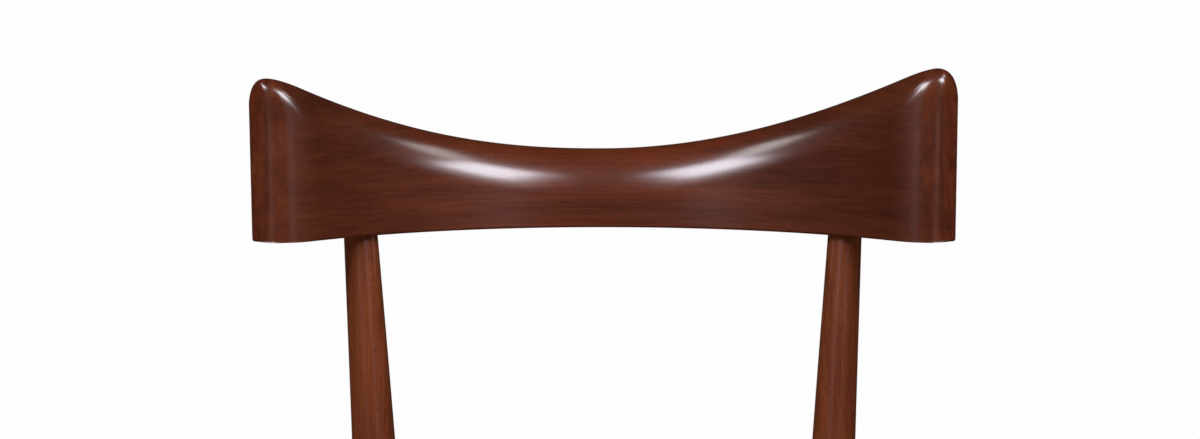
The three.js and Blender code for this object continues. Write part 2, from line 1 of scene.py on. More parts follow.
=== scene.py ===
# %% [markdown]
# A klismos dining chair. The curved crest rail, the round legs and the seat are
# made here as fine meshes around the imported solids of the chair, which say where
# every piece is. All lengths below are in metres, as Blender has them.

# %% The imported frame
import math

import bmesh
import bpy
from mathutils import Matrix, Vector, geometry


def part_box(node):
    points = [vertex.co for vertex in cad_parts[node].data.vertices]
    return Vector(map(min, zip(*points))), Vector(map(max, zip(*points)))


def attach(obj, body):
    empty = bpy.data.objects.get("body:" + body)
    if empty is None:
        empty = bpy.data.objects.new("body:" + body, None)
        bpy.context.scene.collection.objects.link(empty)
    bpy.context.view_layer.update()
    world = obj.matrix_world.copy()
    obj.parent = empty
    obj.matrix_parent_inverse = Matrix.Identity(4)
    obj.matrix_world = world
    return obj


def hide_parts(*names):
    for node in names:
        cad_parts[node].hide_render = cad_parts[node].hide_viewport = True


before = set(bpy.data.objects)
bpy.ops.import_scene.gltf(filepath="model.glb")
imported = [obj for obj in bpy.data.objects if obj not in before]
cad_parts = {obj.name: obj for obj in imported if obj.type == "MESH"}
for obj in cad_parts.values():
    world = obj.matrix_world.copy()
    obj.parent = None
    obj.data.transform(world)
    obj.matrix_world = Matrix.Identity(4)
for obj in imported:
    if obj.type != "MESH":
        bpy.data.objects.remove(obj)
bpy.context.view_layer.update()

# %% [markdown]
# The camera comes first. It stands almost in front of the chair, a little to the
# sitter's right and a little above the crest rail, and looks down on it slightly.
# Its three axes are worked out from those angles, and the small roll tips the
# picture as a hand-held camera does.

# %% Camera
VIEW_TURN = math.radians(-1.5)
VIEW_DROP = math.radians(6.4)
VIEW_ROLL = math.radians(0.163)
VIEW_DISTANCE = 1.957
VIEW_AIM = Vector((-0.0010, 0.2749, 0.7190))
LENS = 78.30
FILM_WIDTH = 36.0

ahead = Vector((0, math.cos(VIEW_DROP), -math.sin(VIEW_DROP)))
ahead.rotate(Matrix.Rotation(VIEW_TURN, 3, "Z"))
level = Vector((math.cos(VIEW_TURN), math.sin(VIEW_TURN), 0))
level.rotate(Matrix.Rotation(-VIEW_ROLL, 3, ahead))
axes = Matrix((level, level.cross(ahead), -ahead)).transposed()

camera = bpy.data.objects.new("camera", bpy.data.cameras.new("camera"))
camera.data.lens = LENS
camera.data.sensor_width = FILM_WIDTH
camera.matrix_world = Matrix.Translation(VIEW_AIM - ahead * VIEW_DISTANCE) @ axes.to_4x4()
bpy.context.collection.objects.link(camera)
bpy.context.scene.camera = camera
print("camera at", [round(part, 3) for part in camera.location])

# %% [markdown]
# Every finish below is built from shader nodes. Adding and linking each node by
# hand hides the sum that they work out, so a small class wraps a node's output,
# and an expression such as 1 - mask adds its Math nodes by itself.

# %% Shader maths
class Value:
    """A node's output, which +, - and * work on by adding Math nodes."""

    def __init__(self, graph, socket):
        self.graph = graph
        self.socket = socket

    def __add__(self, other):
        return self.graph.maths("ADD", self, other)

    def __radd__(self, other):
        return self.graph.maths("ADD", other, self)

    def __sub__(self, other):
        return self.graph.maths("SUBTRACT", self, other)

    def __rsub__(self, other):
        return self.graph.maths("SUBTRACT", other, self)

    def __mul__(self, other):
        return self.graph.maths("MULTIPLY", self, other)

    def __rmul__(self, other):
        return self.graph.maths("MULTIPLY", other, self)


print("a shader value takes + - *")

# %% [markdown]
# Any other node comes from one method, which takes its type, its settings, and
# what goes into its sockets. A finish and the studio's surround both hold nodes,
# so the method sits in a class that both can use.

# %% Shader nodes
class Graph:
    """The nodes of a finish or of the surround."""

    def __init__(self, tree):
        self.tree = tree

    def feed(self, socket, value):
        """Links a Value to the socket, or sets a number, colour or vector on it."""
        if isinstance(value, Value):
            self.tree.links.new(value.socket, socket)
        else:
            socket.default_value = value

    def node(self, kind, settings=None, sockets=None, output=0):
        """Adds a node: first its settings, a ramp's stops among them, then its sockets."""
        made = self.tree.nodes.new(kind)
        settings = dict(settings or {})
        stops = settings.pop("stops", None)
        for name, value in settings.items():
            setattr(made, name, value)
        if stops:
            self.set_stops(made.color_ramp.elements, stops)
        for name, value in (sockets or {}).items():
            self.feed(made.inputs[name], value)
        return Value(self, made.outputs[output])

    def set_stops(self, elements, stops):
        """Gives a ramp its stops. It has two to start with, and more go between them."""
        while len(elements) < len(stops):
            elements.new(0.5)
        for element, (position, tint) in zip(elements, stops):
            element.position = position
            element.color = tint

    def maths(self, operation, first, second=0.0):
        return self.node("ShaderNodeMath", {"operation": operation}, {0: first, 1: second})


print("one method adds any other node")

# %% [markdown]
# A finish is one Principled shader. The same few patterns drive it every time:
# noise stretched along a direction, a ramp of colours, a soft band and a bump, so
# each has a short method. They all start from Object coordinates, which stay with
# the piece however the camera moves.

# %% Finishes
class Finish(Graph):
    """A material with one Principled shader, and the patterns that drive it."""

    def __init__(self, name, **constants):
        self.material = bpy.data.materials.new(name)
        self.material.use_nodes = True
        super().__init__(self.material.node_tree)
        self.shader = self.tree.nodes["Principled BSDF"]
        self.place = self.node("ShaderNodeTexCoord", output="Object")
        self.drive(**constants)

    def drive(self, **sockets):
        """Feeds the shader's sockets, named with _ for a space."""
        for name, value in sockets.items():
            self.feed(self.shader.inputs[name.replace("_", " ")], value)

    def axis(self, letter):
        """How far a point lies along X, Y or Z."""
        return self.node("ShaderNodeSeparateXYZ", {}, {"Vector": self.place}, output=letter)

    def mapped(self, scale=(1, 1, 1), turn=(0, 0, 0), shift=(0, 0, 0), vector=None):
        """Object coordinates after a Mapping node."""
        return self.node("ShaderNodeMapping", {}, {
            "Vector": vector or self.place, "Scale": scale, "Rotation": turn, "Location": shift})

    def noise(self, vector, scale=1.0, detail=3.0, roughness=0.5, distortion=0.0):
        return self.node("ShaderNodeTexNoise", {}, {
            "Vector": vector, "Scale": scale, "Detail": detail,
            "Roughness": roughness, "Distortion": distortion})

    def ramp(self, factor, *stops):
        return self.node("ShaderNodeValToRGB", {"stops": stops}, {"Fac": factor})

    def band(self, value, low, high, new_low=0.0, new_high=1.0):
        """value, taken from low..high to new_low..new_high and held there."""
        return self.node("ShaderNodeMapRange", {"interpolation_type": "SMOOTHSTEP"}, {
            "Value": value, "From Min": low, "From Max": high,
            "To Min": new_low, "To Max": new_high})

    def blend(self, factor, first, second):
        """Two colours mixed. The Mix node keeps its colour sockets at 6 and 7."""
        return self.node(
            "ShaderNodeMix", {"data_type": "RGBA"}, {0: factor, 6: first, 7: second}, output=2)

    def bump(self, height, distance, strength):
        self.drive(Normal=self.node("ShaderNodeBump", {}, {
            "Height": height, "Distance": distance, "Strength": strength}))


def colour(red, green, blue):
    return (red, green, blue, 1.0)


def grey(level):
    return colour(level, level, level)


print("patterns: noise, ramp, band, blend, bump")

# %% [markdown]
# The chair is a close-grained reddish wood, stained dark and lacquered until it
# shines. The stain is taken up unevenly, so its colour runs from nearly black in
# the dark streaks through red-brown to amber in the light ones.

# %% Stains
DARK_STAIN = colour(0.036, 0.0072, 0.0026)
RED_STAIN = colour(0.088, 0.0182, 0.0062)
AMBER_STAIN = colour(0.165, 0.040, 0.0118)
PORE_STAIN = colour(0.020, 0.0042, 0.0018)
# the deepest stain darkens the line at the rail's ends, and as painted shade the face towards the
# horns
DEEP_STAIN_AND_SHADE = colour(0.016, 0.0036, 0.0016)
print("stains from", DEEP_STAIN_AND_SHADE[:3], "to", AMBER_STAIN[:3])

# %% [markdown]
# The ends of the crest rail are cut across the grain. There the stain sinks in
# and looks mottled instead of streaked, with a dark line where the end begins.
# The face is painted darker towards the horns, more on the sitter's left: painted
# shade, not stain. A second material would leave a hard joint, so bands of the
# distance from the middle of the rail fade one look into the other. Each band
# below is where it starts and ends, then how strong it is at either end.

# %% Ends of the rail and painted shade
PAINTED_SHADE_TO_HORNS = (0.02, 0.21, 0.06, 0.36)
PAINTED_SHADE_SITTERS_LEFT = (0.08, 0.22, 0.0, 0.16)
MOTTLE_SCALE = (95, 70, 48)
RING_SCALE = (260, 120, 18)
MOTTLE_SHARE, RING_SHARE = 0.75, 0.25
CUT_ACROSS_STOPS = ((0.32, DARK_STAIN), (0.54, RED_STAIN), (0.82, AMBER_STAIN))
CUT_ACROSS_BAND = (0.206, 0.240, 0.0, 0.7)
LINE_START, LINE_MIDDLE, LINE_END = 0.2365, 0.2395, 0.2435
LINE_STRENGTH = 0.45


def ends_and_painted_shade(wood, stain):
    """The rail's stain, with painted shade darkening the face towards the horns, mottled where
    cut across.
    """
    across = wood.axis("X")
    reach = wood.maths("ABSOLUTE", across)
    # painted shade: the face is darkened towards the horns, and more on the sitter's left
    shade = wood.band(reach, *PAINTED_SHADE_TO_HORNS) + wood.band(across, *PAINTED_SHADE_SITTERS_LEFT)
    mottle = wood.noise(wood.mapped(MOTTLE_SCALE), detail=5, roughness=0.62, distortion=0.5)
    rings = wood.noise(wood.mapped(RING_SCALE), detail=3)
    cut_across = wood.ramp(mottle * MOTTLE_SHARE + rings * RING_SHARE, *CUT_ACROSS_STOPS)
    before_line = 1 - wood.band(reach, LINE_MIDDLE, LINE_END)
    line = wood.band(reach, LINE_START, LINE_MIDDLE) * before_line
    face = wood.blend(shade, stain, DEEP_STAIN_AND_SHADE)
    end = wood.blend(line * LINE_STRENGTH, cut_across, DEEP_STAIN_AND_SHADE)
    return wood.blend(wood.band(reach, *CUT_ACROSS_BAND), face, end)


print("the rail is cut across from", CUT_ACROSS_BAND[0], "m off its middle")

# %% [markdown]
# For the wood itself a picture could be wrapped around each piece, but its seams
# would show and its lines would bend wrongly at the ends. A solid pattern suits it
# better: the grain runs through a piece as through the plank it was cut from. It is
# noise, stretched long in one direction and squeezed in the others, at four sizes:
# clouds of colour, the broad figure, fine streaks and open pores. The lacquer is
# the shader's coat, smooth over the grain.

# %% Polished wood
LACQUER = {
    "Coat_Weight": 1.0, "Coat_Roughness": 0.2, "Coat_IOR": 1.5, "Specular_IOR_Level": 0.05}
CLOUD_SCALE = (4, 5, 12)
FIGURE_SCALE = (2.2, 16, 75)
STREAK_SCALE = (9, 60, 520)
PORE_SCALE = (45, 700, 1500)
FIGURE_SHARE, STREAK_SHARE, CLOUD_SHARE = 0.36, 0.34, 0.40
TONE_SHIFT = -0.05
STAIN_STOPS = ((0.34, DARK_STAIN), (0.54, RED_STAIN), (0.80, AMBER_STAIN))
PORE_BAND = (0.56, 0.70, 0.0, 0.5)
WOOD_ROUGHNESS = (0.3, 0.7, 0.38, 0.52)
PORE_DEPTH = 0.00012


def polished_wood(name, turn, shift, lightening=0.0, end_grain_and_shade=False):
    """Lacquered wood whose grain runs along X once the piece is turned by turn."""
    wood = Finish(name, **LACQUER)
    plank = wood.mapped(turn=turn, shift=shift)
    figure = wood.noise(wood.mapped(FIGURE_SCALE, vector=plank), detail=4, distortion=0.15)
    streak = wood.noise(wood.mapped(STREAK_SCALE, vector=plank), detail=3, roughness=0.6)
    pores = wood.noise(wood.mapped(PORE_SCALE, vector=plank), detail=2, roughness=0.55)
    cloud = wood.noise(wood.mapped(CLOUD_SCALE, vector=plank), detail=2)
    tone = figure * FIGURE_SHARE + streak * STREAK_SHARE + cloud * CLOUD_SHARE
    # a leg's stain is moved up the ramp by its lightening; on the back legs that is painted light
    stain = wood.ramp(tone + (lightening + TONE_SHIFT), *STAIN_STOPS)
    # on the crest rail: its mottled ends, and painted shade on its face
    if end_grain_and_shade:
        stain = ends_and_painted_shade(wood, stain)
    wood.drive(
        Base_Color=wood.blend(wood.band(pores, *PORE_BAND), stain, PORE_STAIN),
        Roughness=wood.band(streak, *WOOD_ROUGHNESS))
    wood.bump(pores * -1.0 + streak * 0.4, PORE_DEPTH, 0.5)
    return wood.material


GRAIN_ALONG_X = (0, 0, 0)
GRAIN_ALONG_Y = (0, 0, math.radians(90))
GRAIN_ALONG_Z = (0, math.radians(90), 0)
rail_wood = polished_wood(
    "polished_wood_crest", GRAIN_ALONG_X, (0.31, 0.17, 0.05), end_grain_and_shade=True)
print("made", rail_wood.name)

# %% [markdown]
# Blocks and dowels inside a seat frame are never stained. Beech is what joiners
# take for them, pale and even, and known by its many short dark flecks. The board
# under the pad is birch plywood, whose layers lie one on another with the grain
# crossed, so its edges show them as light and dark bands. A sine of the height
# draws those.

# %% Plain wood and plywood
BEECH_PALE = colour(0.42, 0.25, 0.13)
BEECH_BROWN = colour(0.30, 0.16, 0.075)
BEECH_FLECK = colour(0.19, 0.09, 0.04)
BEECH_SHIFT = (0.11, 0.07, 0.19)
BEECH_FIGURE_SCALE = (9, 90, 90)
FLECK_SCALE = (160, 900, 900)
FLECK_BAND = (0.60, 0.72, 0.0, 0.6)
BEECH_ROUGHNESS = (0.3, 0.7, 0.62, 0.75)
FLECK_DEPTH = 0.0001
PLY_THICKNESS = 0.0018
PLY_GRAIN_SCALE = (14, 260, 400)
PLY_BAND = (-0.2, 0.3, 0.0, 0.45)
PLY_ROUGHNESS = (0.3, 0.7, 0.65, 0.8)


def plain_wood(name):
    """Beech as it leaves the plane, with its short dark flecks."""
    wood = Finish(name, Specular_IOR_Level=0.3)
    plank = wood.mapped(shift=BEECH_SHIFT)
    figure = wood.noise(wood.mapped(BEECH_FIGURE_SCALE, vector=plank), detail=4)
    flecks = wood.noise(wood.mapped(FLECK_SCALE, vector=plank), detail=1)
    tone = wood.ramp(figure, (0.35, BEECH_BROWN), (0.65, BEECH_PALE))
    wood.drive(
        Base_Color=wood.blend(wood.band(flecks, *FLECK_BAND), tone, BEECH_FLECK),
        Roughness=wood.band(figure, *BEECH_ROUGHNESS))
    wood.bump(flecks * -1.0 + figure, FLECK_DEPTH, 0.6)
    return wood.material


def plywood(name):
    """Birch plywood: its layers show as bands one ply apart on the edges."""
    wood = Finish(name, Specular_IOR_Level=0.25)
    layer = wood.maths("SINE", wood.axis("Z") * (math.pi / PLY_THICKNESS))
    grain = wood.noise(wood.mapped(PLY_GRAIN_SCALE), detail=3)
    tone = wood.ramp(grain, (0.3, BEECH_BROWN), (0.7, BEECH_PALE))
    wood.drive(
        Base_Color=wood.blend(wood.band(layer, *PLY_BAND), tone, BEECH_FLECK),
        Roughness=wood.band(grain, *PLY_ROUGHNESS))
    return wood.material


beech = plain_wood("beech")
board_plywood = plywood("birch_plywood")
print("made", beech.name, board_plywood.name)

# %% [markdown]
# The seat is covered in full-grain leather. Close up its skin is small rounded
# cells parted by fine creases, which is what a Voronoi texture gives when it
# measures the distance to a cell's edge. Two sizes of it together look less
# regular than one. Slow noise makes the dye paler where the hide is worn.

# %% Leather
LEATHER_DARK = colour(0.040, 0.0135, 0.0065)
LEATHER_BROWN = colour(0.105, 0.036, 0.015)
LEATHER_WORN = colour(0.185, 0.072, 0.030)
LEATHER_STOPS = ((0.30, LEATHER_DARK), (0.52, LEATHER_BROWN), (0.78, LEATHER_WORN))
FINE_CELLS, FINE_CREASE, FINE_SHARE = 620, 0.14, 0.7
BROAD_CELLS, BROAD_CREASE, BROAD_SHARE = 190, 0.06, 0.3
CREASE_DARKNESS = 0.55
CREASE_DULLNESS = 0.15
LEATHER_ROUGHNESS = (0.3, 0.7, 0.36, 0.5)
CREASE_DEPTH = 0.00022


def skin_cells(hide, scale, randomness, crease, share):
    """1 on a cell and 0 in the creases around it, times share."""
    edges = hide.node("ShaderNodeTexVoronoi", {"feature": "DISTANCE_TO_EDGE"}, {
        "Vector": hide.place, "Scale": scale, "Randomness": randomness})
    return hide.band(edges, 0.0, crease) * share


def leather(name):
    """Full-grain upholstery leather: small rounded cells parted by fine creases."""
    hide = Finish(name, Specular_IOR_Level=0.5, Coat_Weight=0.12, Coat_Roughness=0.3)
    wander = hide.noise(hide.place, scale=60, detail=2)
    cloud = hide.noise(hide.place, scale=11, detail=4, distortion=0.4)
    fine = skin_cells(hide, FINE_CELLS, 0.95, FINE_CREASE, FINE_SHARE)
    grain = fine + skin_cells(hide, BROAD_CELLS, 1.0, BROAD_CREASE, BROAD_SHARE)
    tone = hide.ramp(cloud * 0.7 + wander * 0.3, *LEATHER_STOPS)
    crease = 1 - grain
    hide.drive(
        Base_Color=hide.blend(crease * CREASE_DARKNESS, tone, LEATHER_DARK),
        Roughness=hide.band(cloud, *LEATHER_ROUGHNESS) + crease * CREASE_DULLNESS)
    hide.bump(grain + wander * 0.8, CREASE_DEPTH, 0.7)
    return hide.material


seat_leather = leather("seat_leather")
print("made", seat_leather.name)

# %% [markdown]
# The lining under the seat is black cambric, a thin plain weave. One thread over
# and one under is a sine along X times a sine along Y, a thread's pitch apart,
# with a little noise for threads that are thicker in places.

# %% Lining cloth
THREAD_PITCH = 0.0011
CLOTH_DARK = colour(0.010, 0.010, 0.011)
CLOTH_LIT = colour(0.035, 0.034, 0.036)
SLUB_SCALE = (30, 500, 1)
CLOTH_ROUGHNESS = (0.3, 0.7, 0.85, 0.97)
THREAD_DEPTH = 0.0002


def lining_cloth(name):
    """Black cambric: threads along X and along Y, which pass over each other."""
    cloth = Finish(name, Specular_IOR_Level=0.2, Sheen_Weight=0.25, Sheen_Roughness=0.4)
    turns = 2 * math.pi / THREAD_PITCH
    warp = cloth.maths("SINE", cloth.axis("X") * turns)
    weft = cloth.maths("SINE", cloth.axis("Y") * turns)
    weave = warp * weft * 0.5 + 0.5
    slub = cloth.noise(cloth.mapped(SLUB_SCALE), detail=2)
    tone = weave * 0.7 + slub * 0.3
    cloth.drive(
        Base_Color=cloth.ramp(tone, (0.2, CLOTH_DARK), (0.85, CLOTH_LIT)),
        Roughness=cloth.band(slub, *CLOTH_ROUGHNESS))
    cloth.bump(tone, THREAD_DEPTH, 0.8)
    return cloth.material


cambric = lining_cloth("black_cambric")
print("made", cambric.name)

# %% [markdown]
# The screws are zinc-plated steel, whose plating is slightly cloudy, and the glides
# under the feet are dark nylon, scuffed where they slide on a floor. Both are small
# and hidden, so one noise each is enough for them.

# %% Steel and nylon
STEEL_BRIGHT = colour(0.62, 0.61, 0.58)
STEEL_DULL = colour(0.40, 0.39, 0.37)
STEEL_ROUGHNESS = (0.3, 0.7, 0.26, 0.45)
PLATING_DEPTH = 0.00003
NYLON_BROWN = colour(0.018, 0.012, 0.009)
NYLON_SCUFFED = colour(0.050, 0.040, 0.033)
SCUFF_SCALE = (180, 900, 300)
NYLON_ROUGHNESS = (0.4, 0.7, 0.45, 0.7)
SCUFF_DEPTH = 0.00005


def zinc_steel(name):
    """Zinc-plated steel, a little cloudy."""
    steel = Finish(name, Metallic=1.0)
    cloud = steel.noise(steel.place, scale=420, detail=3)
    steel.drive(
        Base_Color=steel.ramp(cloud, (0.35, STEEL_DULL), (0.65, STEEL_BRIGHT)),
        Roughness=steel.band(cloud, *STEEL_ROUGHNESS))
    steel.bump(cloud, PLATING_DEPTH, 0.4)
    return steel.material


def moulded_nylon(name):
    """Dark moulded nylon, scuffed where it slides on the floor."""
    nylon = Finish(name, Specular_IOR_Level=0.4)
    scuffs = nylon.noise(nylon.mapped(SCUFF_SCALE), detail=4)
    nylon.drive(
        Base_Color=nylon.ramp(scuffs, (0.5, NYLON_BROWN), (0.75, NYLON_SCUFFED)),
        Roughness=nylon.band(scuffs, *NYLON_ROUGHNESS))
    nylon.bump(scuffs, SCUFF_DEPTH, 0.5)
    return nylon.material


screw_steel = zinc_steel("zinc_steel")
glide_nylon = moulded_nylon("nylon")
print("made", screw_steel.name, glide_nylon.name)

# %% [markdown]
# A few helpers turn a bmesh into a piece of the chair. A piece rides on the chair's
# one body, takes a finish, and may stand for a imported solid. Its faces are smooth
# and only edges that turn sharply stay sharp.

# %% Piece helpers
SHARP_ANGLE = math.radians(42)


def make_piece(name, shape, material, slot, *stands_for):
    """The bmesh as a smooth object on the root body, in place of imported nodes."""
    mesh = bpy.data.meshes.new(name)
    bmesh.ops.recalc_face_normals(shape, faces=shape.faces)
    for face in shape.faces:
        face.smooth = True
    for edge in shape.edges:
        edge.smooth = edge.is_manifold and edge.calc_face_angle(0.0) < SHARP_ANGLE
    shape.to_mesh(mesh)
    shape.free()
    piece = bpy.data.objects.new(name, mesh)
    bpy.context.collection.objects.link(piece)
    mesh.materials.append(material)
    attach(piece, "root")
    if stands_for:
        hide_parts(*stands_for)
    print(name, len(mesh.polygons), "faces")
    return piece


def refinish(node, material):
    """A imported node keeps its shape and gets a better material."""
    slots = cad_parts[node].data.materials
    slots.clear()
    slots.append(material)


def modify(piece, name, kind, **settings):
    """Adds a modifier and gives it its settings."""
    modifier = piece.modifiers.new(name, kind)
    for setting, value in settings.items():
        setattr(modifier, setting, value)
    return modifier


def weigh_normals(piece):
    """Keeps flat faces flat next to rounded ones."""
    modify(piece, "weighted normals", "WEIGHTED_NORMAL", keep_sharp=True, weight=100)


print("piece helpers ready, edges stay sharp from", round(math.degrees(SHARP_ANGLE)), "degrees")

# %% [markdown]
# Two more helpers shape a bmesh. Rails, legs and the pad are all drawn out of one
# flat face, as a bar comes out of a die, and some are then cut level, as with a
# saw. The plane that cuts points away from what is kept.

# %% Shaping helpers
CUT_TOLERANCE = 1e-6


def draw_out(shape, cap):
    """Extrudes a cap face. Only the very first cap stays, as the closed start."""
    is_start = len(shape.faces) == 1
    grown = bmesh.ops.extrude_face_region(shape, geom=[cap])["geom"]
    if not is_start:
        bmesh.ops.delete(shape, geom=[cap], context="FACES_ONLY")
    return next(part for part in grown if isinstance(part, bmesh.types.BMFace))


def cut_away(shape, place, outward, close=False):
    """Cuts with a plane, drops what is beyond it, and returns the edges of the cut."""
    whole = shape.verts[:] + shape.edges[:] + shape.faces[:]
    cut = bmesh.ops.bisect_plane(
        shape, geom=whole, dist=CUT_TOLERANCE, plane_co=place, plane_no=outward,
        clear_outer=True)
    rim = [part for part in cut["geom_cut"] if isinstance(part, bmesh.types.BMEdge)]
    if close:
        bmesh.ops.contextual_create(shape, geom=rim)
    return rim


print("shaping helpers ready")

# %% [markdown]
# The crest rail is one thick board, sawn to a hollow in plan and rising to a horn
# at each end. Its front rolls over softly at the top and at both ends, its back
# more quickly, and the horns' corners are rounded off. These are its measures, all
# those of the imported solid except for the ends' roll and the corners, which are
# carved a little finer here. CORNER_RUNS and CORNER_DROPS differ by side: -1 is the
# sitter's right and 1 the sitter's left.

# %% Crest rail measures
POST_SPREAD = 0.353
POST_TOP_Y = 0.219045
RAIL_UNDERSIDE = 0.715
RAIL_THICKNESS = 0.036
HOLLOW_RADIUS = 0.289
RAIL_MIDDLE_HEIGHT = 0.056
HORN_RISE = 0.076
HORN_DIFFERENCE = 0.004
HORN_POWER = 2.15
HORN_POWER_DIFFERENCE = 0.14
RAIL_HALF_WIDTH = 0.250
FRONT_ROLL = (0.64 * RAIL_THICKNESS, 0.034)
BACK_ROLL = (0.36 * RAIL_THICKNESS, 0.018)
LOWER_EDGE = 0.002
RAIL_LEAN = 0.25
LEAN_FLARE = 0.2
TIP_DROP = 0.0095
TIP_RUN = 0.036
END_ROLL = 0.025
END_ROLL_RUN = 0.036
ROLL_JOINT = 3.0
CORNER_RUNS = {-1: 0.010, 1: 0.014}
CORNER_DROPS = {-1: 0.003, 1: 0.009}
ARRIS_RADIUS = 0.006

MIDDLE_RADIUS = HOLLOW_RADIUS + RAIL_THICKNESS / 2
HOLLOW_CENTRE_Y = POST_TOP_Y - math.sqrt(MIDDLE_RADIUS ** 2 - (POST_SPREAD / 2) ** 2)
OUTER_RADIUS = MIDDLE_RADIUS + RAIL_THICKNESS / 2
END_ANGLE = math.asin((RAIL_HALF_WIDTH - ARRIS_RADIUS) / (OUTER_RADIUS - ARRIS_RADIUS))
HALF_LENGTH = ARRIS_RADIUS + MIDDLE_RADIUS * END_ANGLE
print("hollow's centre at y", round(HOLLOW_CENTRE_Y, 4), "half length", round(HALF_LENGTH, 4))

# %% [markdown]
# The rail could be cut from a block with curved cutters, but its many roundings
# run into each other. It is easier to make it straight first. A circle is
# stretched quarter by quarter into the section, and the section is drawn along the
# rail. Its height follows the horns, and its front moves back towards the ends.
# Where the roll of an end meets the roll of the top, their depths are joined as the
# sides of a right angle are, but with cubes for squares: no crease is left, and
# each roll keeps its own depth away from the other.

# %% The straight section
def horn_height(run):
    """The rail's height where its middle line has gone run from the centre."""
    across = MIDDLE_RADIUS * math.sin(run / MIDDLE_RADIUS)
    rise = HORN_RISE + math.copysign(HORN_DIFFERENCE, run)
    power = HORN_POWER - math.copysign(HORN_POWER_DIFFERENCE, run)
    return RAIL_MIDDLE_HEIGHT + rise * abs(across / RAIL_HALF_WIDTH) ** power


def rounded_off(from_end, start, most):
    """What an edge rounding that starts that far from the end has taken off."""
    share = max(0.0, 1 - from_end / start)
    return most * (1 - math.sqrt(1 - share ** 2))


def section_point(spoke, height, front_loss, back_loss, lift):
    """A point of the unit circle, taken to the section of the bar."""
    ridge = FRONT_ROLL[0] - RAIL_THICKNESS / 2
    if spoke.z > 0:
        roll = FRONT_ROLL if spoke.y < 0 else BACK_ROLL
        place = Vector((0, ridge + roll[0] * spoke.y, height - roll[1] + roll[1] * spoke.z))
    else:
        start = math.copysign(RAIL_THICKNESS / 2 - LOWER_EDGE, spoke.y)
        place = Vector((0, start + LOWER_EDGE * spoke.y, lift + LOWER_EDGE * (1 + spoke.z)))
    depth = max(0.0, place.y + RAIL_THICKNESS / 2)
    share = depth / RAIL_THICKNESS
    joined = (depth ** ROLL_JOINT + front_loss ** ROLL_JOINT) ** (1 / ROLL_JOINT)
    place.y += (joined - depth) * (1 - share) - back_loss * share
    return place


print("height at the horns", [round(horn_height(side * HALF_LENGTH), 4) for side in (-1, 1)])

# %% [markdown]
# The section is drawn through stations along the bar, close together at the ends,
# where it changes fast. Only then is the bar bent around the hollow and leaned
# back. It flares as it leans, so the top of the hollow is wider than its foot.

# %% Crest rail
SECTION_POINTS = 96
RAIL_STATIONS = 140
TIP_STATIONS = 40


def rail_stations():
    """(run, distance from the nearer end) from one end to the other."""
    body = HALF_LENGTH - END_ROLL_RUN
    turns = [math.pi / 2 * step / TIP_STATIONS for step in range(1, TIP_STATIONS + 1)]
    tip = [END_ROLL_RUN * (1 - math.sin(turn)) for turn in turns]
    middle = [body * (2 * step / RAIL_STATIONS - 1) for step in range(RAIL_STATIONS + 1)]
    first = [(from_end - HALF_LENGTH, from_end) for from_end in reversed(tip)]
    last = [(HALF_LENGTH - from_end, from_end) for from_end in tip]
    return first + [(run, END_ROLL_RUN) for run in middle] + last


def bend(point):
    """The straight bar's point, bent around the hollow and leaned back."""
    angle = point.x / MIDDLE_RADIUS
    lean = RAIL_LEAN * point.z
    radius = MIDDLE_RADIUS + point.y + LEAN_FLARE * lean
    return Vector((
        radius * math.sin(angle),
        HOLLOW_CENTRE_Y + radius * math.cos(angle) + (1 - LEAN_FLARE) * lean,
        RAIL_UNDERSIDE + point.z))


def crest_rail():
    shape = bmesh.new()
    half_step = Matrix.Rotation(math.pi / SECTION_POINTS, 4, "Z")
    stand_up = Matrix(((0, 0, 1, 0), (0, 1, 0, 0), (1, 0, 0, 0), (0, 0, 0, 1)))
    bmesh.ops.create_circle(
        shape, cap_ends=True, segments=SECTION_POINTS, radius=1.0, matrix=stand_up @ half_step)
    cap = shape.faces[:][0]
    spokes = [vert.co.copy() for vert in cap.verts]
    for index, (run, from_end) in enumerate(rail_stations()):
        if index:
            cap = draw_out(shape, cap)
        side = 1 if run > 0 else -1
        height = horn_height(run) - rounded_off(from_end, TIP_RUN, TIP_DROP)
        height -= rounded_off(from_end, CORNER_RUNS[side], CORNER_DROPS[side])
        front_loss = rounded_off(from_end, END_ROLL_RUN, END_ROLL)
        back_loss = rounded_off(from_end, ARRIS_RADIUS, ARRIS_RADIUS)
        lift = rounded_off(from_end, LOWER_EDGE, LOWER_EDGE)
        for vert, spoke in zip(cap.verts, spokes):
            place = section_point(spoke, height, front_loss, back_loss, lift)
            vert.co = bend(Vector((run, place.y, place.z)))
    return shape


crest = make_piece("crest_rail_carved", crest_rail(), rail_wood, "polished_wood", "crest_rail")
weigh_normals(crest)

# %% [markdown]
# Each leg is a turned round, thickest at the seat and slimmer towards its ends, and
# its lower part curves outwards to the foot. A lathe can't turn a curved leg, so a
# real one is sawn to its curve and shaved round. Here its middle line is one Bezier
# curve, given as pairs of how far out and how high, and the radius follows from the
# height.

# %% Leg measures
KNEE_DIAMETER = 0.0365
KNEE_HEIGHT = 0.398
POST_TOP_DIAMETER = 0.0245
FRONT_TOP_DIAMETER = 0.039
FRONT_KNEE_HEIGHT = 0.376
FOOT_DIAMETER = 0.022
SEAT_RAIL_TOP = 0.434
GLIDE_THICKNESS = 0.004
TAPER_ROUNDING = 0.2
BACK_LEG_TURN = math.radians(15.2)
FRONT_LEG_TURN = math.radians(20)
POST_RAKE = 0.068
FRONT_LEG_SPREAD = 0.410
LEG_TOP_GAP = 0.0003
BACK_LEG_CURVE = [(0.121, 0.0), (-0.0506, 0.330), (-0.0277, 0.385), (0.068, 0.715)]
FRONT_LEG_CURVE = [(0.065, 0.0), (-0.0064, 0.170), (0.0, 0.290), (0.0, 0.434)]

